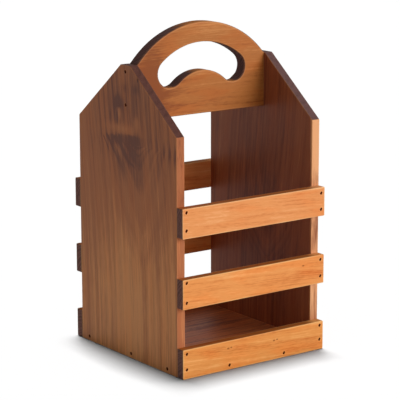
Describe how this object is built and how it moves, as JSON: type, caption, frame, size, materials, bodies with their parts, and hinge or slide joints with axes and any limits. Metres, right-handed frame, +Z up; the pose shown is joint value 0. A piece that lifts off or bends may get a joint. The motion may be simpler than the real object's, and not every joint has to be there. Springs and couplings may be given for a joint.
{
  "type": "bottle caddy",
  "caption": "Slatted wooden carrier for wine bottles, with gabled end panels and an arched handle board with a hand hole.",
  "frame": {"origin": "middle of the base, on the surface that the carrier stands on", "axes": "+Z up, X along the slats from the left end panel to the right one, -Y towards the front slats"},
  "size_m": [0.178, 0.1914, 0.3369],
  "materials": {
    "panel_wood": "satin oil, brown",
    "slat_wood": "satin oil, orange brown",
    "handle_wood": "satin oil, orange brown",
    "floor_wood": "satin oil, brown",
    "brad_steel": "dark, set below the wood"
  },
  "bodies": {
    "root": {"end_panel_left": "panel_wood", "end_panel_right": "panel_wood", "floor_board": "floor_wood", "front_slat_lower": "slat_wood", "front_slat_middle": "slat_wood", "front_slat_upper": "slat_wood", "handle_board": "handle_wood", "rear_slat_lower": "slat_wood", "rear_slat_middle": "slat_wood", "rear_slat_upper": "slat_wood", "front_slat_lower_nails": "brad_steel", "front_slat_middle_nails": "brad_steel", "front_slat_upper_nails": "brad_steel", "handle_nails_left": "brad_steel", "handle_nails_right": "brad_steel", "panel_floor_nails_left": "brad_steel", "panel_floor_nails_right": "brad_steel", "rear_slat_lower_nails": "brad_steel", "rear_slat_middle_nails": "brad_steel", "rear_slat_upper_nails": "brad_steel", "slat_floor_nails_front": "brad_steel", "slat_floor_nails_rear": "brad_steel"}
  },
  "joints": []
}
